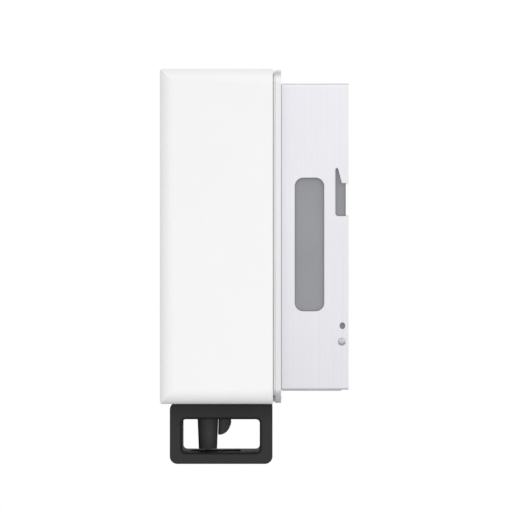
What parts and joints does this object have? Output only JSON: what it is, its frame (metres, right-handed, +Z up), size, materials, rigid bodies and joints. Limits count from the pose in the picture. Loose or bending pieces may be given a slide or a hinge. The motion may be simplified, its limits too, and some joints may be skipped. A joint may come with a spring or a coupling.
{
  "type": "wall mounted soap dispenser",
  "caption": "Touch-free wall soap dispenser: sheet housing on a wall plate, hinged white cover over tank and pump, black outlet guard.",
  "frame": {"origin": "middle of the wall plate's rear face, on the wall", "axes": "+Z up, +Y into the wall, the front faces -Y, +X to the right seen from the front"},
  "size_m": [0.117, 0.1289, 0.2704],
  "materials": {
    "white_plastic": "smooth satin white",
    "brushed_sheet": "upright brushed grain, light grey",
    "satin_metal": "satin cast frame",
    "grey_plastic": "fine matt grey",
    "black_plastic": "fine matt black",
    "steel": "bright zinc",
    "plate_steel": "light powder coat",
    "brass": "bright",
    "clear_plastic": "translucent",
    "smoky_plastic": "smoked",
    "rubber": "matt",
    "silicone": "matt translucent",
    "gear_plastic": "natural",
    "board": "solder mask",
    "battery_wrap": "gloss wrap",
    "sensor_glass": "dark red filter",
    "led": "green diffuser"
  },
  "bodies": {
    "dispenser": {"wall_plate": "plate_steel", "rear_housing": "brushed_sheet", "side_screw_right": "steel", "side_screw_left": "steel", "rear_tub": "grey_plastic", "battery_box": "black_plastic", "contact_strip_top": "brass", "contact_strip_bottom": "brass", "battery_1": "battery_wrap", "battery_2": "battery_wrap", "battery_3": "battery_wrap", "battery_4": "battery_wrap", "control_board": "board", "board_chip": "black_plastic", "board_capacitor": "steel", "base_frame": "satin_metal", "frame_screw_1": "steel", "frame_screw_2": "steel", "frame_screw_3": "steel", "frame_screw_4": "steel", "hinge_pin_right": "steel", "hinge_pin_left": "steel", "lock_catch": "steel", "catch_screw": "steel", "tank": "clear_plastic", "hose_collar": "grey_plastic", "pump_chassis": "grey_plastic", "chassis_screw_1": "steel", "chassis_screw_2": "steel", "pump_body": "grey_plastic", "pump_lid": "clear_plastic", "pump_screw_1": "steel", "pump_screw_2": "steel", "pump_screw_3": "steel", "pump_hose": "silicone", "motor": "steel", "nozzle": "black_plastic", "nozzle_valve": "silicone", "sensor_housing": "black_plastic", "sensor_lens": "sensor_glass", "status_led": "led", "switch_board": "board"},
    "cover": {"front_cover": "white_plastic", "level_window": "smoky_plastic", "nozzle_guard": "black_plastic", "guard_screw_1": "steel", "guard_screw_2": "steel", "guard_screw_3": "steel", "guard_screw_4": "steel", "lock_nut": "brass"},
    "lock": {"lock_barrel": "steel", "lock_cam": "steel"},
    "cap": {"tank_cap": "black_plastic", "cap_gasket": "rubber"},
    "battery_lid": {"battery_lid": "grey_plastic"},
    "rotor": {"pump_rotor": "gear_plastic", "rotor_gear": "gear_plastic"},
    "pinion": {"motor_pinion": "brass"},
    "button": {"power_button": "rubber"},
    "switch": {"dose_switch": "white_plastic"}
  },
  "joints": [
    {"name": "cover_hinge", "type": "hinge", "parent": "dispenser", "child": "cover", "pos_m": [0, -0.0481, -0.11], "axis": [1, 0, 0], "range_deg": [0, 90]},
    {"name": "lock_turn", "type": "hinge", "parent": "cover", "child": "lock", "pos_m": [0, -0.068, 0.1], "axis": [0, 0, -1], "range_deg": [0, 90]},
    {"name": "cap_turn", "type": "hinge", "parent": "dispenser", "child": "cap", "pos_m": [0, -0.084, 0.08], "axis": [0, 0, 1], "range_deg": [0, 90]},
    {"name": "battery_lid_slide", "type": "slide", "parent": "dispenser", "child": "battery_lid", "axis": [0, 0, 1], "range_m": [0, 0.01]},
    {"name": "rotor_spin", "type": "hinge", "parent": "dispenser", "child": "rotor", "pos_m": [-0.008, -0.09, -0.079], "axis": [0, 1, 0], "continuous": true},
    {"name": "pinion_spin", "type": "hinge", "parent": "dispenser", "child": "pinion", "pos_m": [0.0113, -0.086, -0.079], "axis": [0, 1, 0], "continuous": true},
    {"name": "button_press", "type": "slide", "parent": "dispenser", "child": "button", "axis": [0, 1, 0], "range_m": [0, 0.0012], "stiffness_N_per_m": 400},
    {"name": "dose_slide", "type": "slide", "parent": "dispenser", "child": "switch", "axis": [1, 0, 0], "range_m": [0, 0.005]}
  ],
  "couplings": [
    {"joint": "pinion_spin", "follows": "rotor_spin", "ratio": -3}
  ]
}
